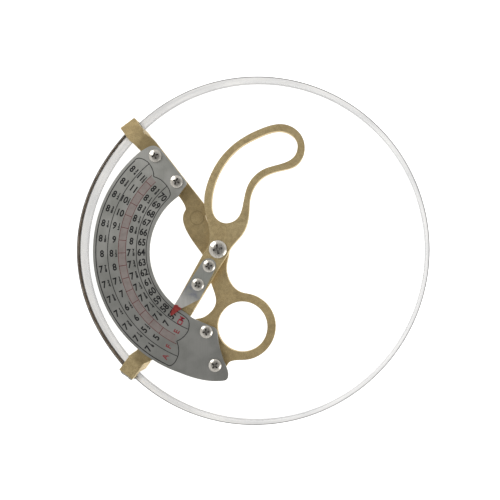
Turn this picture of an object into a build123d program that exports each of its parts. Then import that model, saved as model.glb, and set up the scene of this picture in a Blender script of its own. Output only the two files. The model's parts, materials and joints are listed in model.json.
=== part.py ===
from build123d import *
from math import atan2, cos, degrees, hypot, pi, radians, sin
import os

# Hat size gauge. Two cast brass levers cross at one pivot like scissors. Each carries a square
# block at its far end, and the blocks hold one springy steel band bent into a ring. Closing the
# finger loops brings the blocks together and makes the ring larger. A pointer on the handle
# lever shows the size on a curved plate, which is screwed to the frame lever.
#
# The origin is the centre of the closed ring, on the surface that the gauge lies on. The band
# lies lowest, then the frame lever, the handle lever, the scale plate and the pointer.

os.makedirs("parts", exist_ok=True)

# ---- the ring and the band -------------------------------------------------------------------
BAND_THICK = 0.4
BAND_WIDTH = 15.0
BAND_GAP = 0.1          # between neighbouring segments, so that they can turn
UPPER_SPACING = 1.6     # between the two layers at the upper block
LOWER_SPACING = 2.0     # between the two layers at the lower block
LAP_BULGE = 1.2         # how far the doubled stretch stands out of the circle
BAND_OVERRUN = 0.8      # the inner end passes the middle of the lower block by this much
BAND_STUB = 4.0         # the fixed end inside the upper block
# where the segments start, in degrees round the ring from the upper block
SEGMENT_STARTS = [0, 40, 85, 140, 195, 250, 305, 360, 390, 420]

# ---- the pivot and the blocks, by distance and angle from the pivot --------------------------
PIVOT_X = -18.0
BAND_REACH = 78.9       # pivot to the middle of the band, at either block
BLOCK_ANGLE = 126.3     # the upper block; the lower one is its mirror image when closed
BLOCK_SIDE = 8.4
UPPER_REACH = 77.4
UPPER_LENGTH = 9.1      # the upper block's size along the band
UPPER_SHIFT = -0.35     # how far the upper block stands off its line from the pivot
LOWER_REACH = 75.9
LOWER_SHIFT = -0.5

# ---- levels ----------------------------------------------------------------------------------
LEVER_THICK = 4.0
FRAME_BOTTOM = BAND_WIDTH + 0.5
FRAME_TOP = FRAME_BOTTOM + LEVER_THICK
WASHER_THICK = 0.45
RUNNING_GAP = 0.05
HANDLE_BOTTOM = FRAME_TOP + WASHER_THICK + RUNNING_GAP
HANDLE_TOP = HANDLE_BOTTOM + LEVER_THICK
ARM_THICK = 2.2         # the handle lever where it passes under the scale plate
ARM_TOP = HANDLE_BOTTOM + ARM_THICK
PLATE_THICK = 0.8
PLATE_BOTTOM = ARM_TOP + 0.4
PLATE_TOP = PLATE_BOTTOM + PLATE_THICK
POINTER_TOP = HANDLE_TOP + PLATE_THICK
SLOT_TOP = BAND_WIDTH + 0.4
LOWER_BLOCK_BOTTOM = 0.3

# ---- the scale plate -------------------------------------------------------------------------
SCALE_INNER = 35.0
INNER_MIDDLE = (-0.3, -1.3)
SCALE_OUTER = 65.7
OUTER_MIDDLE = (1.1, -0.7)
STEP_RADIUS = 33.4      # the handle lever is thinned beyond this distance from the pivot

# ---- screws and bores ------------------------------------------------------------------------
PIVOT_DIAMETER = 5.0
PLATE_SCREW_DIAMETER = 3.0
POINTER_SCREW_DIAMETER = 2.5
KEEPER_SCREW_DIAMETER = 1.6
RIVET_DIAMETER = 1.4
FIT = 0.1               # added to a diameter, so 0.05 all round
RIVET_FIT = 0.04
UPPER_RIVET_LENGTH = 1.95

PLATE_SCREWS = [(-32.4, 48.0), (-21.4, 34.7), (-6.0, -42.1), (-1.5, -59.2)]
POINTER_SCREWS = [(-4.5, -8.6), (-10.2, -18.0)]


def at_pivot(height):
    """A horizontal plane whose origin is on the pivot axis."""
    return Plane((PIVOT_X, 0, height))


def block_plane(angle, reach, height):
    """A horizontal plane at a block, with X pointing away from the pivot."""
    direction = Vector(cos(radians(angle)), sin(radians(angle)), 0)
    return Plane(Vector(PIVOT_X, 0, height) + direction * reach, x_dir=direction, z_dir=(0, 0, 1))


def side_plane(angle, reach, height):
    """An upright plane through a block. X points away from the pivot and Y points up."""
    direction = Vector(cos(radians(angle)), sin(radians(angle)), 0)
    across = Vector(direction.Y, -direction.X, 0)
    return Plane(Vector(PIVOT_X, 0, height) + direction * reach, x_dir=direction, z_dir=across)


def facing_plane(angle, reach, height, way):
    """A plane on a block's face: way is 1 to face away from the pivot and -1 to face it. X is up."""
    direction = Vector(cos(radians(angle)), sin(radians(angle)), 0)
    return Plane(Vector(PIVOT_X, 0, height) + direction * reach,
                 x_dir=(0, 0, 1), z_dir=direction * way)


def spots(plane, places):
    """The places on a plane, as locations."""
    return [plane.location * Location((x, y, 0)) for x, y in places]


def pan_screw(seat, head_width, head_height, diameter, end):
    """A cross-recessed pan-head screw on the Z axis: underside of the head at seat, tip at end."""
    rim = head_height * 0.42
    rise = head_height - rim
    radius = (head_width ** 2 / 4 + rise ** 2) / (2 * rise)
    start = degrees(atan2(radius - rise, head_width / 2))
    with BuildPart() as screw:
        with BuildSketch(Plane.XZ):
            with BuildLine():
                Polyline((0, seat + head_height), (0, end), (diameter / 2 - 0.2, end),
                         (diameter / 2, end + 0.2), (diameter / 2, seat),
                         (head_width / 2, seat), (head_width / 2, seat + rim))
                CenterArc((0, seat + head_height - radius), radius, start, 90 - start)
            make_face()
        revolve(axis=Axis.Z)
        with BuildSketch(Plane.XY.offset(seat + head_height)):
            Rectangle(head_width * 0.56, head_width * 0.13)
            Rectangle(head_width * 0.13, head_width * 0.56)
        extrude(amount=-head_height * 0.72, taper=6, mode=Mode.SUBTRACT)
    return screw.part


def rivet(head_width, head_height, diameter, length):
    """A round-headed rivet on the Z axis, with the underside of its head at zero."""
    radius = (head_width ** 2 / 4 + head_height ** 2) / (2 * head_height)
    start = degrees(atan2(radius - head_height, head_width / 2))
    with BuildPart() as piece:
        with BuildSketch(Plane.XZ):
            with BuildLine():
                Polyline((0, head_height), (0, -length), (diameter / 2, -length),
                         (diameter / 2, 0), (head_width / 2, 0))
                CenterArc((0, head_height - radius), radius, start, 90 - start)
            make_face()
        revolve(axis=Axis.Z)
    return piece.part


def spiral_radius(turn):
    """Ring centre to the middle of the band, for an angle in radians from the upper block."""
    if turn <= LAP:
        spread = (LOWER_SPACING - UPPER_SPACING) * turn / LAP
        return RING_RADIUS + (UPPER_SPACING + spread) / 2 + LAP_BULGE * sin(pi * turn / LAP) ** 2
    if turn < 2 * pi:
        share = (turn - LAP) / (2 * pi - LAP)
        return RING_RADIUS + LOWER_SPACING / 2 - share * (UPPER_SPACING + LOWER_SPACING) / 2
    again = turn - 2 * pi
    spread = (LOWER_SPACING - UPPER_SPACING) * again / LAP
    return RING_RADIUS - (UPPER_SPACING + spread) / 2 + LAP_BULGE * sin(pi * again / LAP) ** 2


def band_point(turn):
    """A point on the middle line of the band."""
    radius = spiral_radius(turn)
    return Vector(radius * cos(FIRST_ANGLE + turn), radius * sin(FIRST_ANGLE + turn))


def band_piece(start, end):
    """One arc of the band between two angles from the upper block."""
    with BuildPart() as piece:
        with BuildSketch():
            with BuildLine():
                ThreePointArc(band_point(start), band_point((start + end) / 2), band_point(end))
            trace(line_width=BAND_THICK)
        extrude(amount=BAND_WIDTH)
    return piece.part


UPPER_PLACE = block_plane(BLOCK_ANGLE, BAND_REACH, 0).origin
RING_RADIUS = hypot(UPPER_PLACE.X, UPPER_PLACE.Y)
FIRST_ANGLE = pi - radians(Vector(-1, 0).get_angle(Vector(UPPER_PLACE.X, UPPER_PLACE.Y)))
LAP = 2 * (pi - FIRST_ANGLE)
BAND_TURN = 2 * pi + LAP

# ---- frame lever: thumb ring, pivot, arm under the scale plate, upper block ------------------
THUMB_CENTRE = (12.0, -39.7)
THUMB_OUTER = 17.2
THUMB_HOLE = 12.93
ARM_SLOPE = (18.3, -21.7)
UPPER_FACE = UPPER_REACH + BLOCK_SIDE / 2
UPPER_RIVETS = spots(facing_plane(BLOCK_ANGLE, UPPER_FACE, 7.5, 1), [(-3.2, 2.2), (3.2, 2.2)])

with BuildPart() as frame_lever:
    with BuildSketch(at_pivot(FRAME_BOTTOM)):
        with BuildLine():
            Spline((-46.6, 56.5), (-44.5, 54.9), (-42.6, 52.9), (-40.6, 50.9),
                   tangents=[(1.0, -0.6), ARM_SLOPE])
            Line((-40.6, 50.9), (-21.7, 28.5))
            Spline((-21.7, 28.5), (-18.6, 24.2), (-17.4, 20.8), tangents=[ARM_SLOPE, (0.1, -1.0)])
            Spline((-17.4, 20.8), (-18.9, 16.6), (-16.8, 9.4), (-11.6, 1.4), (-6.6, -6.5),
                   (-4.4, -16.5), (-1.9, -28.2), (-4.9, -32.7), (-12.1, -35.8))
            Spline((-12.1, -35.8), (-12.4, -43.0), (-8.6, -53.0), (-5.6, -60.5), (-1.6, -63.2),
                   (3.4, -60.6), (12.0, -56.9), tangents=[(-0.7, -1.0), (1.0, 0.0)])
            Line((12.0, -56.9), (14.1, -22.6))
            Spline((14.1, -22.6), (8.3, -20.2), (4.6, -14.6), (3.7, -8.5), (4.9, -2.0),
                   (4.2, 4.0), (-0.5, 8.6), (-5.0, 12.5), (-7.0, 18.0), (-10.3, 26.7),
                   tangents=[(-1.0, 0.12), (-18.1, 23.0)])
            Polyline((-10.3, 26.7), (-33.8, 56.7), (-35.3, 58.3), (-39.0, 60.2), (-40.0, 62.0),
                     (-45.5, 62.0), (-46.6, 56.5))
        make_face()
        with Locations(THUMB_CENTRE):
            Circle(THUMB_OUTER)
            Circle(THUMB_HOLE, mode=Mode.SUBTRACT)
        Circle((PIVOT_DIAMETER + FIT) / 2, mode=Mode.SUBTRACT)
        with Locations(*PLATE_SCREWS):
            Circle((PLATE_SCREW_DIAMETER + FIT) / 2, mode=Mode.SUBTRACT)
    extrude(amount=LEVER_THICK)
    with BuildSketch(block_plane(BLOCK_ANGLE, UPPER_REACH, 0)):
        with Locations((0, UPPER_SHIFT)):
            Rectangle(BLOCK_SIDE, UPPER_LENGTH)
    extrude(amount=FRAME_TOP)
    # the slot is open below, and its outer wall follows the fixed end of the band
    with BuildSketch(block_plane(BLOCK_ANGLE, BAND_REACH, 0)):
        with BuildLine():
            Polyline((-2.2, -5.0), (1.75, -5.0), (1.05, 0.0), (1.15, 5.0), (-2.2, 5.0),
                     close=True)
        make_face()
    extrude(amount=SLOT_TOP, mode=Mode.SUBTRACT)
    with Locations(*UPPER_RIVETS):
        Cylinder((RIVET_DIAMETER + RIVET_FIT) / 2, 2 * UPPER_RIVET_LENGTH, mode=Mode.SUBTRACT)
frame_lever.part.label = "frame_lever"

# ---- handle lever: finger loop, pivot, thinned arm, lower block ------------------------------
HOOK_FACE = -2.4            # the inner side of the lower slot, from the middle of the band
LOWER_INNER = LOWER_REACH - BLOCK_SIDE / 2
LOWER_OUTER = LOWER_REACH + BLOCK_SIDE / 2
HOOK_THICK = BAND_REACH + HOOK_FACE - LOWER_INNER
LOWER_RIVETS = spots(facing_plane(-BLOCK_ANGLE, LOWER_INNER, 7.5, -1), [(-3.2, 0), (3.2, 0)])
KEEPER_TOP = 21.6
KEEPER_THICK = 0.65
KEEPER_SCREWS = spots(facing_plane(-BLOCK_ANGLE, LOWER_OUTER + KEEPER_THICK, 19.2, 1),
                      [(0, -2.2), (0, 2.2)])

with BuildPart() as handle_lever:
    with BuildSketch(at_pivot(HANDLE_BOTTOM)):
        with BuildLine():
            Polyline((-7.7, -2.4), (-22.3, -28.8), (-42.1, -51.7), (-46.4, -54.7),
                     (-45.2, -61.5), (-40.0, -60.4), (-38.7, -58.8), (-33.9, -56.7),
                     (-14.4, -34.1), (4.6, -2.9))
            Spline((4.6, -2.9), (7.6, 2.2), (12.8, 8.4), (15.6, 17.0), (16.6, 27.0),
                   (22.0, 36.0), (32.0, 40.2), (40.2, 43.0), (44.2, 50.6), (42.2, 58.6),
                   (35.0, 63.6), (21.5, 61.5), (8.7, 54.4), (0.0, 45.3), (-5.0, 35.5),
                   (-7.2, 23.5), (-5.4, 14.0), (-4.3, 6.0), (-7.7, -2.4))
        make_face()
        with BuildLine():
            Spline((-3.4, 21.6), (-2.6, 30.3), (1.4, 40.6), (10.0, 51.2), (21.5, 57.7),
                   (34.0, 60.0), (40.1, 55.0), (39.0, 47.6), (33.0, 43.9), (23.0, 40.8),
                   (15.6, 33.6), (12.7, 23.0), (9.6, 15.6), (3.6, 13.4), (-1.8, 16.6),
                   periodic=True)
        make_face(mode=Mode.SUBTRACT)
        Circle((PIVOT_DIAMETER + FIT) / 2, mode=Mode.SUBTRACT)
        with Locations(*POINTER_SCREWS):
            Circle((POINTER_SCREW_DIAMETER + FIT) / 2, mode=Mode.SUBTRACT)
    extrude(amount=LEVER_THICK)
    # the arm is thinner from just before the scale plate to its end
    with BuildSketch(at_pivot(ARM_TOP)):
        Rectangle(LOWER_OUTER, LOWER_OUTER, align=(Align.MAX, Align.MAX))
        Circle(STEP_RADIUS, mode=Mode.SUBTRACT)
    extrude(amount=LEVER_THICK, mode=Mode.SUBTRACT)
    with BuildSketch(block_plane(-BLOCK_ANGLE, LOWER_REACH, SLOT_TOP)):
        with Locations((0, LOWER_SHIFT)):
            Rectangle(BLOCK_SIDE, BLOCK_SIDE)
    extrude(amount=ARM_TOP - SLOT_TOP)
    with BuildSketch(block_plane(-BLOCK_ANGLE, LOWER_INNER, LOWER_BLOCK_BOTTOM)):
        with Locations((0, LOWER_SHIFT)):
            Rectangle(HOOK_THICK, BLOCK_SIDE, align=(Align.MIN, Align.CENTER))
    extrude(amount=SLOT_TOP - LOWER_BLOCK_BOTTOM)
    with Locations(*LOWER_RIVETS):
        Cylinder((RIVET_DIAMETER + RIVET_FIT) / 2, 3 * HOOK_THICK, mode=Mode.SUBTRACT)
    with Locations(*KEEPER_SCREWS):
        Cylinder((KEEPER_SCREW_DIAMETER + FIT) / 2, 9.0, mode=Mode.SUBTRACT)
handle_lever.part.label = "handle_lever"

# ---- the keeper: a bent steel strip that closes the lower slot -------------------------------
with BuildPart() as band_keeper:
    with BuildSketch(side_plane(-BLOCK_ANGLE, LOWER_OUTER, 0)):
        with BuildLine():
            Polyline((1.15, 0.5), (1.8, 0.5), (1.8, 15.2), (KEEPER_THICK, 16.6),
                     (KEEPER_THICK, KEEPER_TOP), (0, KEEPER_TOP), (0, 16.3), (1.15, 14.9),
                     close=True)
        make_face()
    extrude(amount=3.6, both=True)
    with Locations(*KEEPER_SCREWS):
        Cylinder((KEEPER_SCREW_DIAMETER + FIT) / 2, 3.0, mode=Mode.SUBTRACT)
band_keeper.part.label = "band_keeper"

# ---- scale plate -----------------------------------------------------------------------------
OUTER_START = 128.6
OUTER_END = 251.5
INNER_START = 125.5
INNER_END = 240.3

with BuildPart() as scale_plate:
    with BuildSketch(at_pivot(PLATE_BOTTOM)):
        with BuildLine():
            outer = CenterArc(OUTER_MIDDLE, SCALE_OUTER, OUTER_START, OUTER_END - OUTER_START)
            inner = CenterArc(INNER_MIDDLE, SCALE_INNER, INNER_START, INNER_END - INNER_START)
            Spline(outer @ 1, (-13.0, -65.4), (-5.3, -67.0), (2.0, -67.1), (4.5, -66.3),
                   (5.2, -64.2), (3.5, -58.2), (1.1, -51.0), (-0.2, -44.5), (-0.6, -41.6),
                   (-2.4, -39.7))
            Line((-2.4, -39.7), (-10.5, -36.3))
            Spline((-10.5, -36.3), (-14.4, -34.2), inner @ 1,
                   tangents=[(-8.1, 3.4), inner % 1 * -1])
            Line(inner @ 0, (-17.6, 31.6))
            ThreePointArc((-17.6, 31.6), (-16.5, 33.2), (-16.7, 35.0))
            Line((-16.7, 35.0), (-29.7, 51.2))
            Spline((-29.7, 51.2), (-31.2, 52.6), (-34.2, 53.3), (-37.0, 52.2), outer @ 0)
        make_face()
        with Locations(*PLATE_SCREWS):
            Circle(PLATE_SCREW_DIAMETER / 2 + FIT, mode=Mode.SUBTRACT)
    extrude(amount=PLATE_THICK)
scale_plate.part.label = "scale_plate"

# ---- spacers that hold the scale plate above the frame lever ---------------------------------
with BuildPart() as plate_spacers:
    with BuildSketch(at_pivot(FRAME_TOP)):
        with Locations(*PLATE_SCREWS):
            Circle(2.8)
            Circle(PLATE_SCREW_DIAMETER / 2 + FIT, mode=Mode.SUBTRACT)
    extrude(amount=PLATE_BOTTOM - FRAME_TOP)
plate_spacers.part.label = "plate_spacers"

# ---- pointer plate, along the handle lever's arm ---------------------------------------------
with BuildPart() as pointer_plate:
    with BuildSketch(Plane((PIVOT_X, 0, HANDLE_TOP), x_dir=(-0.533, -0.846, 0), z_dir=(0, 0, 1))):
        with BuildLine():
            Line((35.0, -3.7), (9.7, -3.3))
            ThreePointArc((9.7, -3.3), (5.8, 0.5), (9.7, 4.3))
            Polyline((9.7, 4.3), (26.5, 5.7), (35.3, 0.4), (40.6, -1.7))
            ThreePointArc((40.6, -1.7), (41.2, -2.4), (40.8, -3.1))
            Line((40.8, -3.1), (35.0, -3.7))
        make_face()
    extrude(amount=PLATE_THICK)
    with BuildSketch(at_pivot(HANDLE_TOP)):
        with Locations(*POINTER_SCREWS):
            Circle(POINTER_SCREW_DIAMETER / 2 + FIT)
    extrude(amount=PLATE_THICK, mode=Mode.SUBTRACT)
pointer_plate.part.label = "pointer_plate"

# ---- pivot: shouldered screw, thrust washer between the levers, nut below ---------------------
NUT_THICK = 3.0
NUT_WIDTH = 8.0

pivot_pin = pan_screw(HANDLE_TOP + RUNNING_GAP, 9.1, 2.3, PIVOT_DIAMETER,
                      FRAME_BOTTOM - NUT_THICK - 0.6)
with BuildPart() as pivot_screw:
    with Locations((PIVOT_X, 0, 0)):
        add(pivot_pin, rotation=(0, 0, 12))
pivot_screw.part.label = "pivot_screw"

with BuildPart() as pivot_washer:
    with BuildSketch(at_pivot(FRAME_TOP)):
        Circle(4.7)
        Circle(PIVOT_DIAMETER / 2 + FIT, mode=Mode.SUBTRACT)
    extrude(amount=WASHER_THICK)
pivot_washer.part.label = "pivot_washer"

with BuildPart() as pivot_nut:
    with BuildSketch(at_pivot(FRAME_BOTTOM - NUT_THICK)):
        RegularPolygon(NUT_WIDTH / 2, 6, major_radius=False)
        Circle((PIVOT_DIAMETER + FIT) / 2, mode=Mode.SUBTRACT)
    extrude(amount=NUT_THICK)
pivot_nut.part.label = "pivot_nut"

# ---- plate screws and pointer screws ---------------------------------------------------------
plate_pin = pan_screw(PLATE_TOP, 6.5, 1.7, PLATE_SCREW_DIAMETER, FRAME_BOTTOM)
with BuildPart() as plate_screws:
    for place, turn in zip(PLATE_SCREWS, (20, 65, 5, 50)):
        with Locations((PIVOT_X + place[0], place[1], 0)):
            add(plate_pin, rotation=(0, 0, turn))
plate_screws.part.label = "plate_screws"

pointer_pin = pan_screw(POINTER_TOP, 6.3, 1.6, POINTER_SCREW_DIAMETER, HANDLE_BOTTOM + 0.2)
with BuildPart() as pointer_screws:
    for place, turn in zip(POINTER_SCREWS, (10, 35)):
        with Locations((PIVOT_X + place[0], place[1], 0)):
            add(pointer_pin, rotation=(0, 0, turn))
pointer_screws.part.label = "pointer_screws"

keeper_pin = pan_screw(0, 2.8, 0.9, KEEPER_SCREW_DIAMETER, -4.0)
with BuildPart() as keeper_screws:
    with Locations(*KEEPER_SCREWS):
        add(keeper_pin)
keeper_screws.part.label = "keeper_screws"

# ---- rivets for the two ends of the band -----------------------------------------------------
upper_rivet = rivet(2.6, 0.7, RIVET_DIAMETER, UPPER_RIVET_LENGTH)
with BuildPart() as upper_rivets:
    with Locations(*UPPER_RIVETS):
        add(upper_rivet)
upper_rivets.part.label = "upper_rivets"

lower_rivet = rivet(2.6, 0.7, RIVET_DIAMETER, HOOK_THICK)
with BuildPart() as lower_rivets:
    with Locations(*LOWER_RIVETS):
        add(lower_rivet)
lower_rivets.part.label = "lower_rivets"

# ---- the band: a fixed end in the upper block, then arcs from there round to the lower block --
stub = band_piece(-BAND_STUB / RING_RADIUS, -BAND_GAP / 2 / RING_RADIUS)
with BuildPart() as band_end:
    add(stub)
    with Locations(*UPPER_RIVETS):
        Cylinder((RIVET_DIAMETER + RIVET_FIT) / 2, 2 * UPPER_RIVET_LENGTH, mode=Mode.SUBTRACT)
band_end.part.label = "band_end"

gap = BAND_GAP / 2 / RING_RADIUS
starts = [radians(turn) + gap for turn in SEGMENT_STARTS]
ends = [start - 2 * gap for start in starts[1:]] + [BAND_TURN + BAND_OVERRUN / RING_RADIUS]
segments = []
for start, end in zip(starts, ends):
    segment = band_piece(start, end)
    segment.label = f"band_{len(segments) + 1:02d}"
    segments.append(segment)

pieces = [frame_lever, handle_lever, band_keeper, scale_plate, plate_spacers, pointer_plate,
          pivot_screw, pivot_washer, pivot_nut, plate_screws, pointer_screws, keeper_screws,
          upper_rivets, lower_rivets, band_end]
for part in [piece.part for piece in pieces] + segments:
    export_step(part, f"parts/{part.label}.step")
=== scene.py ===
"""Looks of the hat size gauge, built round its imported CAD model.

Lengths are written in millimetres and turned into metres where Blender takes them. Places on
the scale are given about the pivot, as a distance and an angle, or as X and Y from the pivot.
"""

import json
from math import atan2, cos, pi, radians, sin

import bmesh
import bpy
from mathutils import Euler, Matrix, Vector


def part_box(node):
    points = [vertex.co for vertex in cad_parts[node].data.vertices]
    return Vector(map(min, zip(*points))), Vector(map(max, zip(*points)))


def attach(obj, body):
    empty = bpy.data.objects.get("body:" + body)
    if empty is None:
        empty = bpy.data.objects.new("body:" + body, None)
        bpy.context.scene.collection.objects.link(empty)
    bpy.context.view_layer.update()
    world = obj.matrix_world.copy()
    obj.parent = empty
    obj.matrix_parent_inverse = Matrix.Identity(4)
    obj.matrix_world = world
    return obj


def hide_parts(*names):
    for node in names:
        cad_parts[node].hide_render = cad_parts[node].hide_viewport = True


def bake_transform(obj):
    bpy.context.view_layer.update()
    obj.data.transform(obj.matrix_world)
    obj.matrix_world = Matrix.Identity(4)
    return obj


MM = 0.001
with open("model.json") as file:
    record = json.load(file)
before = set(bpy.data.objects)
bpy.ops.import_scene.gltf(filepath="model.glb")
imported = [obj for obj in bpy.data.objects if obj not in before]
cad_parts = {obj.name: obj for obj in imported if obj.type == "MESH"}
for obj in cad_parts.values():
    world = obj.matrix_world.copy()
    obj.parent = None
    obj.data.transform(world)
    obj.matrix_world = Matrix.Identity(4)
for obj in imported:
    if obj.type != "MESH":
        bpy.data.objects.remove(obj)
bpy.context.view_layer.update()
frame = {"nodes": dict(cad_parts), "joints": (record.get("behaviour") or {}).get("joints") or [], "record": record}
scene = bpy.context.scene
nodes = frame["nodes"]
joints = {joint["name"]: joint for joint in frame["joints"]}
pivot = Vector(joints["squeeze"]["pos_m"]) / MM
band_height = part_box("band_01")[1].z / MM


# ---- camera, light and floor -----------------------------------------------------------------
# how bright the studio is, by height: 0 is straight down, 0.5 level and 1 straight up
STUDIO_LEVELS = [(0.0, 0.55), (0.12, 0.62), (0.4, 0.9), (0.6, 0.9), (0.85, 0.36), (1.0, 0.26)]
FLOOR_SIZE = 9000
FLOOR_DROP = 0.03           # the floor lies this far under the gauge, so that they don't touch


def add_camera():
    """Above the gauge and a little to its right, looking almost straight down."""
    data = bpy.data.cameras.new("camera")
    data.lens = 54.2
    data.sensor_width = 36
    data.shift_x = -0.08
    data.shift_y = 0.03
    camera = bpy.data.objects.new("camera", data)
    camera.location = Vector((30.69, -13.28, 406.65)) * MM
    camera.rotation_euler = Euler((radians(0.788), radians(1.79), 0))
    scene.collection.objects.link(camera)
    scene.camera = camera


def add_softbox(name, place, size, power):
    """A square soft light that faces the middle of the gauge."""
    data = bpy.data.lights.new(name, "AREA")
    data.shape = "SQUARE"
    data.size = size * MM
    data.energy = power
    lamp = bpy.data.objects.new(name, data)
    lamp.location = Vector(place) * MM
    lamp.rotation_euler = (-lamp.location).to_track_quat("-Z", "Y").to_euler()
    scene.collection.objects.link(lamp)


def add_studio():
    """White studio walls under a darker ceiling."""
    world = bpy.data.worlds.new("studio")
    world.use_nodes = True
    scene.world = world
    tree = world.node_tree
    where = tree.nodes.new("ShaderNodeTexCoord")
    split = tree.nodes.new("ShaderNodeSeparateXYZ")
    ramp = tree.nodes.new("ShaderNodeValToRGB")
    elements = ramp.color_ramp.elements
    while len(elements) < len(STUDIO_LEVELS):
        elements.new(0.5)
    for element, (height, level) in zip(elements, STUDIO_LEVELS):
        element.position = height
        element.color = (level, level, level, 1)
    tree.links.new(where.outputs["Generated"], split.inputs[0])
    tree.links.new(split.outputs["Z"], ramp.inputs["Fac"])
    tree.links.new(ramp.outputs["Color"], tree.nodes["Background"].inputs["Color"])


def add_floor():
    """A wide sheet of white paper that glows, so that it shows no shadows."""
    bpy.ops.mesh.primitive_plane_add(size=FLOOR_SIZE * MM, location=(0, 0, -FLOOR_DROP * MM))
    floor = bpy.context.object
    floor.name = "floor"
    paper = Surface("white_paper", {"Base Color": grey(215), "Roughness": 0.9,
                                    "Emission Color": grey(255), "Emission Strength": 0.85})
    paper.bump(paper.noise(1.5), 0.02, 0.1)
    floor.data.materials.append(paper.material)


# ---- materials -------------------------------------------------------------------------------
def srgb(red, green, blue):
    """A colour given in the usual 0 to 255 steps, as Blender's linear values."""
    steps = [value / 255 for value in (red, green, blue)]
    linear = [s / 12.92 if s <= 0.04045 else ((s + 0.055) / 1.055) ** 2.4 for s in steps]
    return (*linear, 1.0)


def grey(level):
    return srgb(level, level, level)


class Surface:
    """A Principled material, with short calls that add nodes and join them."""

    def __init__(self, name, fixed):
        self.material = bpy.data.materials.new(name)
        self.material.use_nodes = True
        self.tree = self.material.node_tree
        self.shader = self.tree.nodes["Principled BSDF"]
        for socket, value in fixed.items():
            self.shader.inputs[socket].default_value = value
        self.place = self.add("ShaderNodeTexCoord", {}).outputs["Object"]

    def add(self, kind, inputs, **settings):
        """A node. Each input is a value or another node's output."""
        node = self.tree.nodes.new(kind)
        for name, value in settings.items():
            setattr(node, name, value)
        for socket, value in inputs.items():
            if isinstance(value, bpy.types.NodeSocket):
                self.tree.links.new(value, node.inputs[socket])
            else:
                node.inputs[socket].default_value = value
        return node

    def math(self, operation, first, second=0.0):
        return self.add("ShaderNodeMath", {0: first, 1: second}, operation=operation).outputs[0]

    def noise(self, size, detail=3.0, stretch=(1, 1, 1), turn=0.0, place=None):
        """Noise with features of about this size. stretch divides the size along X, Y and Z."""
        scale = Vector(stretch) / (size * MM)
        inputs = {"Vector": place or self.place, "Rotation": (0, 0, turn), "Scale": scale}
        mapped = self.add("ShaderNodeMapping", inputs).outputs[0]
        inputs = {"Vector": mapped, "Scale": 1.0, "Detail": detail}
        return self.add("ShaderNodeTexNoise", inputs).outputs["Fac"]

    def between(self, value, low, high, start=0.3, end=0.7):
        """The value's range from start to end, carried to low up to high."""
        inputs = {"Value": value, 1: start, 2: end, 3: low, 4: high}
        return self.add("ShaderNodeMapRange", inputs).outputs[0]

    def ramp(self, value, stops):
        """Colours along a value, from pairs of a position and a colour."""
        node = self.add("ShaderNodeValToRGB", {"Fac": value})
        elements = node.color_ramp.elements
        while len(elements) < len(stops):
            elements.new(0.5)
        for element, (position, colour) in zip(elements, stops):
            element.position = position
            element.color = colour
        return node.outputs["Color"]

    def mix(self, share, first, second, blend="MIX"):
        inputs = {0: share, 6: first, 7: second}
        node = self.add("ShaderNodeMix", inputs, data_type="RGBA", blend_type=blend)
        return node.outputs[2]

    def along(self, direction, start=0.0):
        """The distance along a direction in the XY plane, in millimetres, counted from start."""
        split = self.add("ShaderNodeSeparateXYZ", {"Vector": self.place})
        first = self.math("MULTIPLY", split.outputs["X"], direction[0] / MM)
        second = self.math("MULTIPLY", split.outputs["Y"], direction[1] / MM)
        return self.math("SUBTRACT", self.math("ADD", first, second), start)

    def distance(self, x, y):
        """The distance in millimetres from an upright line through X and Y."""
        first = self.math("POWER", self.along((1, 0), x), 2.0)
        second = self.math("POWER", self.along((0, 1), y), 2.0)
        return self.math("SQRT", self.math("ADD", first, second))

    def wire(self, socket, output):
        self.tree.links.new(output, self.shader.inputs[socket])

    def bump(self, height, depth, strength):
        """Adds relief of this depth under what is there already."""
        inputs = {"Height": height, "Distance": depth * MM, "Strength": strength}
        before = self.shader.inputs["Normal"].links
        if before:
            inputs["Normal"] = before[0].from_socket
        self.wire("Normal", self.add("ShaderNodeBump", inputs).outputs[0])


def cast_brass(name, pale, middle, dark, roughness, shade_spots, marks=()):
    """Dull brass, cast and then bead-blasted, so it is mottled and finely grained.

    The darker areas listed are painted shade, each given by its middle, its size and how much
    darker it is. marks lists faint round marks, each by its middle and its radius."""
    brass = Surface(name, {"Metallic": 1.0})
    clouds = brass.noise(11.0, 4.0)
    patches = brass.noise(1.7, 3.0)
    blend = brass.math("ADD", brass.math("MULTIPLY", clouds, 0.6),
                       brass.math("MULTIPLY", patches, 0.4))
    colour = brass.ramp(blend, [(0.34, dark), (0.5, middle), (0.66, pale)])
    specks = brass.between(brass.noise(0.5, 2.0), 0.0, 0.32, 0.45, 0.68)
    colour = brass.mix(specks, colour, srgb(120, 100, 62))
    # painted shade: each listed area is darkened where the lever lies in shade
    for x, y, size, amount in shade_spots:
        uneven = brass.math("ADD", brass.distance(x, y), brass.between(clouds, -3.0, 3.0))
        share = brass.between(uneven, amount, 0.0, size * 0.55, size)
        colour = brass.mix(share, colour, srgb(104, 88, 58))
    for x, y, radius in marks:
        off = brass.math("ABSOLUTE", brass.math("SUBTRACT", brass.distance(x, y), radius))
        colour = brass.mix(brass.between(off, 0.28, 0.0, 0.1, 0.45), colour, srgb(92, 76, 48))
    brass.wire("Base Color", colour)
    brass.wire("Roughness", brass.between(patches, roughness - 0.05, roughness + 0.07))
    brass.bump(brass.noise(0.35, 2.0), 0.04, 0.5)
    brass.bump(brass.noise(2.6, 2.0), 0.08, 0.2)
    return brass.material


def rubbed_brass():
    """The same brass where hands have rubbed its edges."""
    brass = Surface("rubbed_brass", {"Metallic": 1.0})
    wear = brass.noise(2.2, 4.0)
    brass.wire("Base Color", brass.ramp(wear, [(0.35, srgb(168, 152, 116)),
                                               (0.65, srgb(206, 190, 150))]))
    brass.wire("Roughness", brass.between(wear, 0.46, 0.34))
    brass.bump(brass.noise(0.35, 2.0), 0.03, 0.3)
    return brass.material


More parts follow.
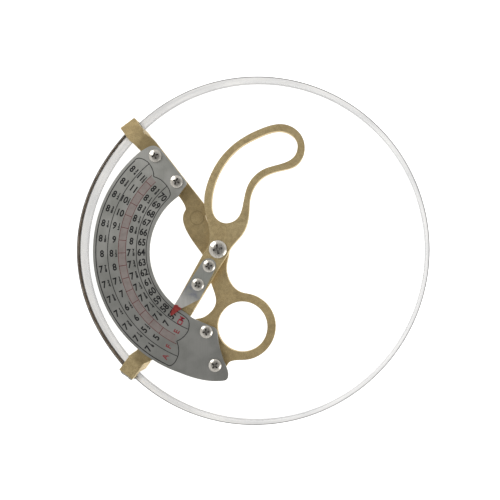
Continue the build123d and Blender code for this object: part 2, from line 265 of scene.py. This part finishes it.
def slot_brass():
    """The brass inside the slots for the band, painted dark as the shade that falls in them."""
    brass = Surface("slot_brass", {"Metallic": 0.6})
    patches = brass.noise(1.4, 4.0)
    brass.wire("Base Color", brass.ramp(patches, [(0.35, srgb(46, 38, 28)),
                                                  (0.65, srgb(74, 60, 42))]))
    brass.wire("Roughness", brass.between(patches, 0.55, 0.75))
    brass.bump(brass.noise(0.4, 2.0), 0.04, 0.4)
    return brass.material


def turned_brass():
    """Small plain brass parts, with faint turning lines."""
    brass = Surface("turned_brass", {"Metallic": 1.0})
    lines = brass.noise(0.9, 2.0, stretch=(1, 1, 12))
    brass.wire("Base Color", brass.ramp(lines, [(0.35, srgb(158, 138, 96)),
                                                (0.65, srgb(196, 176, 130))]))
    brass.wire("Roughness", brass.between(lines, 0.3, 0.42))
    brass.bump(lines, 0.02, 0.3)
    return brass.material


def satin_steel(name, tone, dark, roughness, turn, finish):
    """Satin plate, brushed one way. turn is the brushing's angle from Y. finish takes the
    surface and its colour, and gives the colour with what is special to this plate."""
    steel = Surface(name, {"Metallic": 1.0})
    lines = steel.noise(0.28, 3.0, stretch=(1, 0.02, 1), turn=turn)
    clouds = steel.noise(9.0, 4.0)
    grain = steel.noise(0.5, 3.0)
    colour = steel.ramp(clouds, [(0.35, dark), (0.62, tone)])
    shade = steel.between(lines, 0.0, 0.16)
    colour = steel.mix(shade, colour, grey(70))
    colour = steel.mix(steel.between(grain, 0.0, 0.16), colour, grey(205))
    steel.wire("Base Color", finish(steel, colour))
    steel.wire("Roughness", steel.between(lines, roughness - 0.05, roughness + 0.06))
    steel.bump(lines, 0.012, 0.35)
    return steel.material


def aged(steel, colour):
    """Painted shade: the scale plate is painted darker towards its lower end."""
    height = steel.math("ADD", steel.along((0.25, 1.0)), steel.between(steel.noise(20.0), -9, 9))
    return steel.mix(steel.between(height, 0.3, 0.0, -60.0, 30.0), colour, grey(116))


POINTER_TURN = 237.8        # where the pointer points, in degrees about the pivot
PAINT_START = (35.1, 35.45)     # the paint and the painted reflections come in or end between these distances from the pivot
BLUE_REFLECTION_START = (20.5, 23.0)
BLUE_REFLECTION_END = (25.5, 28.5)
BRIGHT_REFLECTION_START = (26.0, 31.0)


def red_tip(steel, colour):
    """Red lacquer on the end of the pointer, with a hand-painted edge, and a faint blue reflection
    and a bright one towards the tip, both painted.
    """
    way = Vector((cos(radians(POINTER_TURN)), sin(radians(POINTER_TURN))))
    reach = steel.along(way, pivot.to_2d().dot(way))
    ragged = steel.between(steel.noise(0.9, 2.0), -0.45, 0.45)
    reach = steel.math("ADD", reach, ragged)
    painted = steel.between(reach, 0.0, 1.0, *PAINT_START)
    # painted reflection: a faint blue patch along the pointer
    blue_reflection = steel.between(steel.noise(5.0, 1.0), 0.0, 1.0, 0.35, 0.6)
    near = steel.between(reach, 0.0, 1.0, *BLUE_REFLECTION_START)
    far = steel.between(reach, 1.0, 0.0, *BLUE_REFLECTION_END)
    blue_reflection = steel.math("MULTIPLY", blue_reflection, steel.math("MULTIPLY", near, far))
    colour = steel.mix(steel.math("MULTIPLY", blue_reflection, 0.6), colour, srgb(116, 122, 158))
    # painted reflection: the steel is painted brighter towards the tip
    bright = steel.between(reach, 0.0, 0.85, *BRIGHT_REFLECTION_START)
    colour = steel.mix(bright, colour, srgb(240, 238, 233))
    paint = steel.ramp(steel.noise(1.2, 2.0), [(0.35, srgb(124, 34, 34)), (0.7, srgb(150, 52, 46))])
    steel.wire("Metallic", steel.math("SUBTRACT", 1.0, painted))
    return steel.mix(painted, colour, paint)


BLOCK_SHADE_REACH = (2.5, 5.8)  # the painted shade fades over these distances from a block's middle
BLOCK_SHADE_CREEP = 0.1         # it reaches this much further for each millimetre of height


def spring_steel():
    """Bright rolled strip, with fine lines along it and a few dull patches. In and beside the blocks
    it is painted darker as shade, over a slightly longer stretch at its upper edge."""
    steel = Surface("spring_steel", {"Metallic": 0.85, "Specular Tint": grey(240)})
    along = steel.add("ShaderNodeAttribute", {}, attribute_name="along").outputs["Fac"]
    split = steel.add("ShaderNodeSeparateXYZ", {"Vector": steel.place})
    place = steel.add("ShaderNodeCombineXYZ", {"X": along, "Z": split.outputs["Z"]}).outputs[0]
    lines = steel.noise(0.5, 3.0, stretch=(0.012, 1, 1), place=place)
    patches = steel.noise(9.0, 3.0, stretch=(0.4, 1, 1), place=place)
    colour = steel.ramp(patches, [(0.35, grey(200)), (0.65, srgb(220, 219, 217))])
    colour = steel.mix(steel.between(lines, 0.0, 0.12), colour, grey(150))
    creep = steel.math("MULTIPLY", split.outputs["Z"], BLOCK_SHADE_CREEP / MM)
    ragged = steel.between(steel.noise(2.5, 3.0, place=place), -0.8, 0.8)
    # painted shade on the band in and beside each block
    for middle in (RING_RADIUS * LAP, RING_RADIUS * 2 * pi):
        off = steel.math("SUBTRACT", steel.math("MULTIPLY", along, 1 / MM), middle)
        off = steel.math("SUBTRACT", steel.math("ABSOLUTE", off), creep)
        off = steel.math("ADD", off, ragged)
        share = steel.between(off, 0.75, 0.0, *BLOCK_SHADE_REACH)
        colour = steel.mix(share, colour, srgb(96, 89, 80))
    steel.wire("Base Color", colour)
    steel.wire("Roughness", steel.between(lines, 0.16, 0.27))
    steel.bump(lines, 0.008, 0.3)
    return steel.material


def band_edge_steel():
    """The sheared edges of the strip, rough and dark."""
    steel = Surface("band_edge_steel", {"Metallic": 0.9})
    burrs = steel.noise(0.8, 4.0)
    steel.wire("Base Color", steel.ramp(burrs, [(0.35, grey(96)), (0.65, srgb(138, 136, 132))]))
    steel.wire("Roughness", steel.between(burrs, 0.4, 0.55))
    steel.bump(burrs, 0.01, 0.3)
    return steel.material


def stained_steel():
    """Where the two layers lie side by side they are dull, and slightly brown as a painted
    reflection of the brass in the gap.
    """
    steel = Surface("stained_steel", {"Metallic": 0.6})
    stains = steel.noise(5.0, 4.0, stretch=(1, 1, 0.5))
    steel.wire("Base Color", steel.ramp(stains, [(0.35, srgb(206, 196, 184)),
                                                 (0.65, srgb(226, 219, 209))]))
    steel.wire("Roughness", steel.between(stains, 0.4, 0.6))
    steel.bump(stains, 0.01, 0.3)
    return steel.material


def bright_nickel():
    """Polished nickel plate on the screws, lightly scratched, with painted shade down in the recess."""
    nickel = Surface("bright_nickel", {"Metallic": 1.0})
    scratches = nickel.noise(0.5, 4.0, stretch=(1, 0.15, 1), turn=0.6)
    colour = nickel.ramp(scratches, [(0.35, srgb(176, 170, 161)), (0.65, srgb(212, 208, 200))])
    # painted shade: darker where the surface is hidden, down in the recess
    hidden = nickel.add("ShaderNodeAmbientOcclusion", {"Distance": 0.9 * MM}).outputs["AO"]
    recess_shade = nickel.between(hidden, 0.9, 0.0, 0.35, 0.8)
    nickel.wire("Base Color", nickel.mix(recess_shade, colour, srgb(46, 38, 32)))
    nickel.wire("Roughness", nickel.between(scratches, 0.12, 0.24))
    nickel.bump(scratches, 0.01, 0.25)
    return nickel.material


KEEPER_SHADE_TOP = (14.5, 15.2)      # its painted shade on the inner side ends between these heights
KEEPER_INNER = (81.4, 81.55)        # its inner side is nearer the pivot than this


def keeper_steel():
    """The bent keeper strip: bright steel, with painted shade on its inner side down in the slot."""
    steel = Surface("keeper_steel", {"Metallic": 1.0})
    marks = steel.noise(1.1, 4.0, stretch=(1, 1, 0.3))
    colour = steel.ramp(marks, [(0.35, grey(214)), (0.65, srgb(240, 237, 228))])
    height = steel.add("ShaderNodeSeparateXYZ", {"Vector": steel.place}).outputs["Z"]
    height = steel.math("MULTIPLY", height, 1 / MM)
    # painted shade: the keeper's inner side is darker below the top of the slot
    low = steel.between(height, 1.0, 0.0, *KEEPER_SHADE_TOP)
    inner = steel.between(steel.distance(pivot.x, pivot.y), 1.0, 0.0, *KEEPER_INNER)
    inner = steel.math("MULTIPLY", inner, low)
    colour = steel.mix(inner, colour, srgb(52, 46, 38))
    steel.wire("Base Color", colour)
    steel.wire("Roughness", steel.between(marks, 0.2, 0.34))
    steel.bump(marks, 0.015, 0.3)
    return steel.material


def ink(name, tone, worn):
    """Printing ink, slightly uneven."""
    paint = Surface(name, {"Specular IOR Level": 0.3})
    patches = paint.noise(0.6, 3.0)
    paint.wire("Base Color", paint.ramp(patches, [(0.35, tone), (0.75, worn)]))
    paint.wire("Roughness", paint.between(patches, 0.45, 0.6))
    return paint.material


def pink_steel():
    """The plate seen through a thin pink wash."""
    steel = Surface("pink_wash", {"Metallic": 1.0})
    lines = steel.noise(0.28, 3.0, stretch=(1, 0.02, 1))
    patches = steel.noise(3.0, 3.0)
    colour = steel.ramp(patches, [(0.35, srgb(180, 168, 163)), (0.65, srgb(193, 181, 176))])
    steel.wire("Base Color", steel.mix(steel.between(lines, 0.0, 0.12), colour, grey(80)))
    steel.wire("Roughness", steel.between(lines, 0.36, 0.46))
    return steel.material


# ---- mesh helpers ----------------------------------------------------------------------------
def mesh_piece(name, bm, materials, body):
    """A finished mesh as an object that rides on a body, or on none where body is None."""
    mesh = bpy.data.meshes.new(name)
    bm.to_mesh(mesh)
    bm.free()
    for material in materials:
        mesh.materials.append(material)
    piece = bpy.data.objects.new(name, mesh)
    scene.collection.objects.link(piece)
    if body:
        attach(piece, body)
    return piece


def repaint(material, *names):
    """A CAD node that keeps its shape gets its finished material."""
    for name in names:
        for slot in nodes[name].material_slots:
            slot.material = material


def body_of(node):
    """The body that a CAD node rides on."""
    bodies = frame["record"]["behaviour"]["bodies"]
    return next(body for body, members in bodies.items() if node in members)


# ---- levers ----------------------------------------------------------------------------------
SLOT_NEAR = 76.3            # the slots for the band lie between these distances from the pivot
SLOT_FAR = 80.6
EDGE_RADIUS = 0.15
LONG_EDGES = 12.0           # connected edges that reach over less than this stay sharp


def bevelled(node, material, edge_material, slot_shade_material):
    """The CAD lever with its long edges rounded, as castings and blanked plates have them.

    Short edge loops, such as screw holes, and edges inside the blocks stay sharp."""
    bm = bmesh.new()
    bm.from_mesh(nodes[node].data)
    bmesh.ops.remove_doubles(bm, verts=bm.verts, dist=0.0005 * MM)
    bmesh.ops.dissolve_limit(bm, angle_limit=radians(0.6), verts=bm.verts, edges=bm.edges)
    sharp_angle = radians(35)
    weights = bm.edges.layers.float.new("bevel_weight_edge")
    bm.normal_update()
    for face in bm.faces:
        face.smooth = True
        middle = face.calc_center_median() / MM
        outwards = (middle - pivot).to_2d()
        on_end = abs(outwards.normalized().cross(face.normal.to_2d())) > 0.5
        at_slot = SLOT_NEAR < outwards.length < SLOT_FAR and middle.z < band_height + 0.5
        # faces in the slots, but not on the blocks' ends, take the slot brass: painted shade
        face.material_index = 2 if at_slot and not on_end else 0
    for chain, length in sharp_chains(bm, sharp_angle):
        for edge in chain:
            edge.smooth = False
            edge[weights] = 1.0 if length > LONG_EDGES * MM else 0.0
    piece = mesh_piece(node + "_cast", bm, [material, edge_material, slot_shade_material],
                       body_of(node))
    edges = piece.modifiers.new("rounded_edges", "BEVEL")
    edges.width = EDGE_RADIUS * MM
    edges.segments = 3
    edges.limit_method = "WEIGHT"
    edges.use_clamp_overlap = False
    edges.material = 1
    edges.harden_normals = True
    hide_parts(node)
    return piece


def sharp_chains(bm, angle):
    """Sharp edges in connected groups, each with the size of the box that it fills."""
    sharp = {edge for edge in bm.edges
             if len(edge.link_faces) == 2 and edge.calc_face_angle(0) > angle}
    groups = []
    while sharp:
        waiting = [sharp.pop()]
        group = []
        while waiting:
            edge = waiting.pop()
            group.append(edge)
            touching = {other for vert in edge.verts for other in vert.link_edges} & sharp
            sharp -= touching
            waiting.extend(touching)
        places = [vert.co for edge in group for vert in edge.verts]
        spans = [max(p[i] for p in places) - min(p[i] for p in places) for i in range(3)]
        groups.append((group, max(spans)))
    return groups


# ---- the band --------------------------------------------------------------------------------
BAND_THICK = 0.4
BAND_EDGE = 0.05            # radius of the band's rolled edges
CAD_SPACING = 1.6           # between the CAD band's two layers at the upper block
UPPER_SPACING = 1.5         # between the two layers at the upper block
LOWER_SPACING = 1.9         # between the two layers at the lower block
LAP_BULGE = 1.9             # how far the doubled stretch stands out of the circle
SAG = (0.45, 0.25)          # how far the single stretch hangs in on one side, and all along
FIRST_BEND = 4.0            # the band bends over this distance each side of its first joint
BAND_OVERRUN = 0.8          # the band's inner end reaches this far past its last CAD segment
SECTION_STEP = radians(2.0)

first_joint = Vector(joints["band_bend_01"]["pos_m"]) / MM
RING_RADIUS = first_joint.to_2d().length - CAD_SPACING / 2
FIRST_ANGLE = atan2(first_joint.y, first_joint.x)
LAP = 2 * (pi - FIRST_ANGLE)
BAND_TURN = 2 * pi + LAP


def spiral_radius(turn):
    """Ring centre to the middle of the band, for an angle from the upper block."""
    spread = LOWER_SPACING - UPPER_SPACING
    if turn <= LAP:
        bulge = LAP_BULGE * sin(pi * max(turn, 0) / LAP) ** 2
        return RING_RADIUS + (UPPER_SPACING + spread * max(turn, 0) / LAP) / 2 + bulge
    if turn < 2 * pi:
        share = (turn - LAP) / (2 * pi - LAP)
        sag = SAG[0] * sin(2 * pi * share) + SAG[1] * sin(pi * share)
        even = RING_RADIUS + LOWER_SPACING / 2 - share * (UPPER_SPACING + LOWER_SPACING) / 2
        return even - sag
    again = turn - 2 * pi
    bulge = LAP_BULGE * sin(pi * again / LAP) ** 2
    return RING_RADIUS - (UPPER_SPACING + spread * again / LAP) / 2 + bulge


def band_point(turn):
    """A point on the middle line of the band, at the height of its lower edge."""
    radius = spiral_radius(turn)
    return Vector((radius * cos(FIRST_ANGLE + turn), radius * sin(FIRST_ANGLE + turn), 0))


def band_section():
    """The band's section, as offsets outwards and heights, with rounded edges."""
    half = BAND_THICK / 2
    corners = [(half - BAND_EDGE, band_height - BAND_EDGE, 0),
               (BAND_EDGE - half, band_height - BAND_EDGE, 90),
               (BAND_EDGE - half, BAND_EDGE, 180), (half - BAND_EDGE, BAND_EDGE, 270)]
    section = []
    for out, height, start in corners:
        for angle in (start, start + 45, start + 90):
            section.append((out + BAND_EDGE * cos(radians(angle)),
                            height + BAND_EDGE * sin(radians(angle))))
    return section


SECTION_TOP = 2             # the section's long sides, counted as band_section lists its points
SECTION_INSIDE = 5
SECTION_BOTTOM = 8
SECTION_OUTSIDE = 11


def band_strip(name, start, end, materials):
    """A stretch of the band between two angles from the upper block. The materials are those
    of its sides, its edges, and the sides that face the other layer."""
    count = max(4, round((end - start) / SECTION_STEP))
    section = band_section()
    bm = bmesh.new()
    along = bm.verts.layers.float.new("along")
    rings = []
    for step in range(count + 1):
        turn = start + (end - start) * step / count
        here = band_point(turn)
        ahead = band_point(turn + 0.001) - band_point(turn - 0.001)
        outwards = Vector((ahead.y, -ahead.x, 0)).normalized()
        ring = []
        for out, height in section:
            vert = bm.verts.new((here + outwards * out + Vector((0, 0, height))) * MM)
            vert[along] = RING_RADIUS * turn * MM
            ring.append(vert)
        rings.append(ring)
    for step, (ring, following) in enumerate(zip(rings, rings[1:])):
        turn = start + (end - start) * (step + 0.5) / count
        hidden = SECTION_OUTSIDE if turn > 2 * pi else SECTION_INSIDE
        doubled = turn < LAP or turn > 2 * pi
        for i in range(len(section)):
            j = (i + 1) % len(section)
            face = bm.faces.new((ring[i], ring[j], following[j], following[i]))
            face.smooth = True
            if i in (SECTION_TOP, SECTION_BOTTOM):
                face.material_index = 1
            # the sides facing the other layer take the steel whose brown is a painted reflection
            elif doubled and i == hidden:
                face.material_index = 2
    bm.faces.new(rings[0])
    bm.faces.new(reversed(rings[-1]))
    bmesh.ops.recalc_face_normals(bm, faces=bm.faces)
    for edge in bm.edges:
        edge.smooth = edge.calc_face_angle(0) < radians(50)
    return mesh_piece(name, bm, materials, None)


def make_band(materials):
    """One strip for each joint, from the middle of one CAD segment to the middle of the next,
    so that the strips bend where the segments turn and always meet."""
    bends = [joint for name, joint in joints.items() if name.startswith("band_bend")]
    turns = [0.0]
    for joint in bends[1:]:
        place = Vector(joint["pos_m"])
        turn = (atan2(place.y, place.x) - FIRST_ANGLE) % (2 * pi)
        while turn < turns[-1]:
            turn += 2 * pi
        turns.append(turn)
    stub = FIRST_BEND / RING_RADIUS
    middles = [(a + b) / 2 for a, b in zip(turns, turns[1:])] + [(turns[-1] + BAND_TURN) / 2]
    starts = [-stub] + middles[:-1]
    for index, (joint, start, end) in enumerate(zip(bends, starts, middles), 1):
        strip = band_strip(f"band_strip_{index:02d}", start, end, materials)
        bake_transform(strip)
        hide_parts(joint["child"])
        if index == 1:
            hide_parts("band_end")
    last_turn = BAND_TURN + BAND_OVERRUN / RING_RADIUS
    last = band_strip("band_strip_end", middles[-1], last_turn, materials)
    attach(last, bends[-1]["child"])
    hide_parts(bends[-1]["child"])


# ---- the printed scale -----------------------------------------------------------------------
FIRST_SIZE = 57             # centimetres, at the first mark
LAST_SIZE = 70
FIRST_MARK = 234.8          # degrees about the pivot
MARK_STEP = 7.535
SCALE_SHIFT = 0.9           # the printed circles are this far off the pivot, in X and in -Y
COLUMN_LINES = (38.0, 43.05, 57.9, 64.0)
MARK_LINES = (48.6, 52.4)
TINT_STEPS = 70             # the pink band between the mark lines is made of this many pieces
NUMBER_COLUMNS = (40.5, 45.85, 54.85, 60.8)
COLUMN_LINE_WIDTHS = (0.40, 0.38, 0.38, 0.50)
COLUMN_END_WIDTH = 0.42
MARK_LINE_WIDTH = 0.26
MARK_WIDTH = 0.3
DIGIT_SIZE = 3.75
DIGIT_SQUEEZE = 0.84        # the digits are this much narrower than the font's
FRACTION_SIZE = 1.75
FRACTION_SQUEEZE = 0.95
FRACTION_SPREAD = 1.0       # from the fraction's line to the middle of each of its digits
WHOLE_SHIFT = 1.05          # beside a fraction the whole number stands this far out
FRACTION_SHIFT = 1.35       # and the fraction this far in
FRACTION_LINE = (1.1, 0.18)     # its length and width
INK_SINK = 0.004            # the print starts this far inside the plate
INK_THICK = 0.018
TINT_THICK = 0.006
BOLDER = 0.03               # how far letters grow outwards, as a share of their size
SMALL_BOLDER = 0.055
plate_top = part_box("scale_plate")[1].z / MM


def polar(radius, angle):
    """A place about the pivot, by distance and angle in degrees."""
    return Vector((radius * cos(radians(angle)), radius * sin(radians(angle))))


def on_scale(radius, angle):
    """A place on a printed circle, by the circle's radius and the angle about the pivot."""
    return polar(radius + SCALE_SHIFT * (cos(radians(angle)) - sin(radians(angle))), angle)


def mark_angle(size):
    return FIRST_MARK - (size - FIRST_SIZE) * MARK_STEP


class Print:
    """Flat shapes about the pivot that become thin closed solids on the plate."""

    def __init__(self):
        self.bm = bmesh.new()

    def polygon(self, corners):
        self.bm.faces.new([self.bm.verts.new((*corner, 0)) for corner in corners])

    def line(self, points, width):
        """A line of even width through the points."""
        left, right = [], []
        for i, point in enumerate(points):
            before = points[max(i - 1, 0)]
            after = points[min(i + 1, len(points) - 1)]
            ahead = (after - before).normalized()
            side = Vector((-ahead.y, ahead.x)) * width / 2
            left.append(self.bm.verts.new((*(point + side), 0)))
            right.append(self.bm.verts.new((*(point - side), 0)))
        spans = list(zip(left, right))
        for (a, b), (c, d) in zip(spans, spans[1:]):
            self.bm.faces.new((a, b, d, c))

    def arc(self, radius, start, end, width):
        count = max(2, round(abs(end - start) / 1.5))
        points = [on_scale(radius, start + (end - start) * i / count) for i in range(count + 1)]
        self.line(points, width)

    def glyphs(self, text, size, centre, angle, squeeze=1.0, bolder=BOLDER):
        """Text centred on a place and turned so that it reads towards the pivot."""
        outline = glyph_outline(text, bolder)
        turn = Matrix.Rotation(radians(angle - 180), 2)
        verts = []
        for x, y in outline["points"]:
            place = centre + turn @ Vector((x * size * squeeze, y * size))
            verts.append(self.bm.verts.new((*place, 0)))
        for face in outline["faces"]:
            self.bm.faces.new([verts[i] for i in face])

    def finish(self, name, material, thickness):
        """Gives the shapes their thickness and puts them on the plate."""
        bm = self.bm
        bottom = list(bm.faces)
        lifted = bmesh.ops.extrude_face_region(bm, geom=bottom, use_keep_orig=True)
        up = [item for item in lifted["geom"] if isinstance(item, bmesh.types.BMVert)]
        bmesh.ops.translate(bm, verts=up, vec=(0, 0, thickness + INK_SINK))
        bmesh.ops.recalc_face_normals(bm, faces=bm.faces)
        base = Vector((pivot.x, pivot.y, plate_top - INK_SINK))
        for vert in bm.verts:
            vert.co = (vert.co + base) * MM
        return mesh_piece(name, bm, [material], body_of("scale_plate"))


glyph_cache = {}


def glyph_outline(text, bolder):
    """A text's flat filled shape at a height of one, centred on the origin."""
    if (text, bolder) not in glyph_cache:
        curve = bpy.data.curves.new("lettering", "FONT")
        curve.body = text
        curve.resolution_u = 3
        curve.offset = bolder
        holder = bpy.data.objects.new("lettering", curve)
        scene.collection.objects.link(holder)
        bpy.context.view_layer.update()
        mesh = bpy.data.meshes.new_from_object(holder)
        bm = bmesh.new()
        bm.from_mesh(mesh)
        bmesh.ops.remove_doubles(bm, verts=bm.verts, dist=0.0001)
        bmesh.ops.dissolve_degenerate(bm, edges=bm.edges, dist=0.0001)
        bm.verts.index_update()
        xs = [v.co.x for v in bm.verts]
        ys = [v.co.y for v in bm.verts]
        height = max(ys) - min(ys)
        middle = Vector(((max(xs) + min(xs)) / 2, (max(ys) + min(ys)) / 2))
        points = [(v.co.to_2d() - middle) / height for v in bm.verts]
        faces = [[v.index for v in face.verts] for face in bm.faces]
        glyph_cache[text, bolder] = {"points": points, "faces": faces}
        bm.free()
        bpy.data.objects.remove(holder)
        bpy.data.curves.remove(curve)
        bpy.data.meshes.remove(mesh)
    return glyph_cache[text, bolder]


def number(ground, whole, eighths, radius, angle):
    """A whole number and eighths, in their lowest terms, reading towards the pivot."""
    place = on_scale(radius + WHOLE_SHIFT if eighths else radius, angle)
    ground.glyphs(str(whole), DIGIT_SIZE, place, angle, DIGIT_SQUEEZE)
    if not eighths:
        return
    below = 8
    while eighths % 2 == 0:
        eighths //= 2
        below //= 2
    side = polar(FRACTION_SPREAD, angle - 90)
    middle = on_scale(radius - FRACTION_SHIFT, angle)
    for value, place in ((eighths, middle + side), (below, middle - side)):
        ground.glyphs(str(value), FRACTION_SIZE, place, angle, FRACTION_SQUEEZE, SMALL_BOLDER)
    length, width = FRACTION_LINE
    inwards = polar(length / 2, angle)
    ground.line([middle - inwards, middle + inwards], width)


def scale_numbers():
    """The four columns: centimetres, and three hat size scales that rise with them."""
    black = Print()
    for step in range(LAST_SIZE - FIRST_SIZE + 1):
        angle = mark_angle(FIRST_SIZE + step)
        # centimetres, column E by eighths, column F by halves, column A an eighth above E
        values = [(FIRST_SIZE + step, 0), (7 + step // 8, step % 8),
                  ((10 + step) // 2, 4 * (step % 2)), (7 + (step + 1) // 8, (step + 1) % 8)]
        for (whole, eighths), radius in zip(values, NUMBER_COLUMNS):
            number(black, whole, eighths, radius, angle)
    black.finish("scale_numbers", ink("black_ink", grey(14), grey(34)), INK_THICK)


def smooth(points, steps=5):
    """A Catmull-Rom curve through the points."""
    ends = [points[0] * 2 - points[1]] + points + [points[-1] * 2 - points[-2]]
    curve = []
    for a, b, c, d in zip(ends, ends[1:], ends[2:], ends[3:]):
        for i in range(steps):
            t = i / steps
            curve.append(0.5 * (b * 2 + (c - a) * t + (a * 2 - b * 5 + c * 4 - d) * t ** 2
                                + (b * 3 - a - c * 3 + d) * t ** 3))
    return curve + [points[-1]]


# the rounded ends of the printed columns: at the 70 end the outer pair's and then the inner
# pair's, and at the 57 end the inner pair's and then the outer pair's
COLUMN_ENDS = [
    [(-43.1, 46.1), (-41.1, 46.9), (-38.6, 46.3), (-36.2, 44.7), (-34.4, 42.2), (-33.4, 39.4),
     (-33.3, 37.4)],
    [(-33.3, 37.4), (-31.4, 36.7), (-29.3, 35.5), (-26.8, 33.0), (-25.2, 30.4), (-24.7, 28.2),
     (-25.3, 26.9)],
    [(-21.3, -31.6), (-17.0, -34.4), (-15.0, -37.0), (-15.2, -41.1), (-17.0, -44.0),
     (-19.4, -46.0), (-21.2, -46.9)],
    [(-21.2, -46.9), (-20.4, -49.6), (-20.2, -52.6), (-20.9, -55.4), (-22.6, -58.2),
     (-24.9, -59.4), (-27.6, -58.2)],
]


def angle_at(place):
    """The angle in degrees of a place about the pivot, from 0 to 360."""
    return atan2(place[1], place[0]) * 180 / pi % 360


def scale_frame():
    """The black lines round the columns."""
    black = Print()
    line_ends = [(COLUMN_ENDS[1][-1], COLUMN_ENDS[2][0]), (COLUMN_ENDS[1][3], COLUMN_ENDS[2][3]),
                 (COLUMN_ENDS[0][3], COLUMN_ENDS[3][3]), (COLUMN_ENDS[0][0], COLUMN_ENDS[3][-1])]
    for radius, (upper, lower), width in zip(COLUMN_LINES, line_ends, COLUMN_LINE_WIDTHS):
        black.arc(radius, angle_at(upper), angle_at(lower), width)
    for corners in COLUMN_ENDS:
        black.line(smooth([Vector(corner) for corner in corners]), COLUMN_END_WIDTH)
    black.finish("scale_frame", ink("black_line_ink", grey(24), grey(52)), INK_THICK)


def scale_marks():
    """The dark red marks between the columns, one for each centimetre, on a pink band."""
    marks = Print()
    low, high = MARK_LINES
    upper_end = angle_at(COLUMN_ENDS[0][-1])
    lower_end = angle_at(COLUMN_ENDS[3][0])
    marks.arc(low, upper_end + 1.2, lower_end - 2.4, MARK_LINE_WIDTH)
    marks.arc(high, upper_end + 0.2, lower_end + 0.6, MARK_LINE_WIDTH)
    for size in range(FIRST_SIZE, LAST_SIZE + 1):
        angle = mark_angle(size)
        marks.line([on_scale(low, angle), on_scale(high, angle)], MARK_WIDTH)
    dark_red = ink("dark_red_ink", srgb(88, 34, 34), srgb(112, 58, 56))
    marks.finish("scale_marks", dark_red, INK_THICK)

    tint = Print()
    first = upper_end + 1
    last = lower_end - 1
    places = [first + (last - first) * i / TINT_STEPS for i in range(TINT_STEPS + 1)]
    for start, end in zip(places, places[1:]):
        tint.polygon([on_scale(low, start), on_scale(high, start), on_scale(high, end),
                      on_scale(low, end)])
    bmesh.ops.remove_doubles(tint.bm, verts=tint.bm.verts, dist=0.001)
    tint.finish("mark_band_tint", pink_steel(), TINT_THICK)


def scale_letters():
    """The letters that name the columns, in two reds. Each stands at a distance and an angle."""
    bright = Print()
    radius, angle = 41.3, 242.3
    bright.glyphs("CM", 2.9, polar(radius, angle), angle, 0.8)
    bright.finish("column_letter_cm", ink("red_ink", srgb(138, 20, 42), srgb(156, 46, 60)),
                  INK_THICK)
    dull = Print()
    for text, radius, angle in (("E", 47.0, 243.1), ("F", 55.7, 242.9), ("A", 61.2, 243.7)):
        dull.glyphs(text, 3.0, polar(radius, angle), angle, 0.9)
    dull.finish("column_letters", ink("dull_red_ink", srgb(120, 44, 48), srgb(140, 76, 74)),
                INK_THICK)


# ---- putting it together ---------------------------------------------------------------------
def make_levers():
    edges = rubbed_brass()
    # the dark slot brass is painted shade
    inside = slot_brass()
    # painted shade: the frame brass is a darker copy of the handle brass, shaded by the handle above
    shaded = cast_brass("frame_brass_painted_shade", srgb(216, 195, 148), srgb(206, 184, 138),
                        srgb(193, 171, 127), 0.5,
                        shade_spots=[(-26.0, 18.0, 24.0, 0.26), (-55.0, 55.0, 11.0, 0.5)],
                        marks=[(-29.5, 16.4, 3.5)])
    plain = cast_brass("handle_brass", srgb(219, 199, 153), srgb(211, 190, 144),
                       srgb(201, 179, 134), 0.48, shade_spots=[(-55.5, -52.5, 9.0, 0.42)])
    bevelled("frame_lever", shaded, edges, inside)
    bevelled("handle_lever", plain, edges, inside)


def paint_cad_parts():
    plate = satin_steel("scale_steel", srgb(205, 204, 197), srgb(180, 180, 172), 0.42, 0.0, aged)
    pointer = satin_steel("pointer_steel", srgb(214, 213, 205), srgb(196, 198, 190), 0.38,
                          radians(-32), red_tip)
    repaint(plate, "scale_plate")
    repaint(pointer, "pointer_plate")
    repaint(bright_nickel(), "pivot_screw", "plate_screws", "pointer_screws", "keeper_screws",
            "pivot_nut")
    repaint(turned_brass(), "upper_rivets", "lower_rivets", "plate_spacers", "pivot_washer")
    repaint(keeper_steel(), "band_keeper")


add_camera()
add_studio()
add_floor()
add_softbox("key_light", (-420, 380, 330), 360, 1.3)
add_softbox("fill_light", (460, -260, 300), 360, 0.9)
scene.view_settings.view_transform = "Standard"
make_levers()
make_band([spring_steel(), band_edge_steel(), stained_steel()])
paint_cad_parts()
scale_numbers()
scale_frame()
scale_marks()
scale_letters()
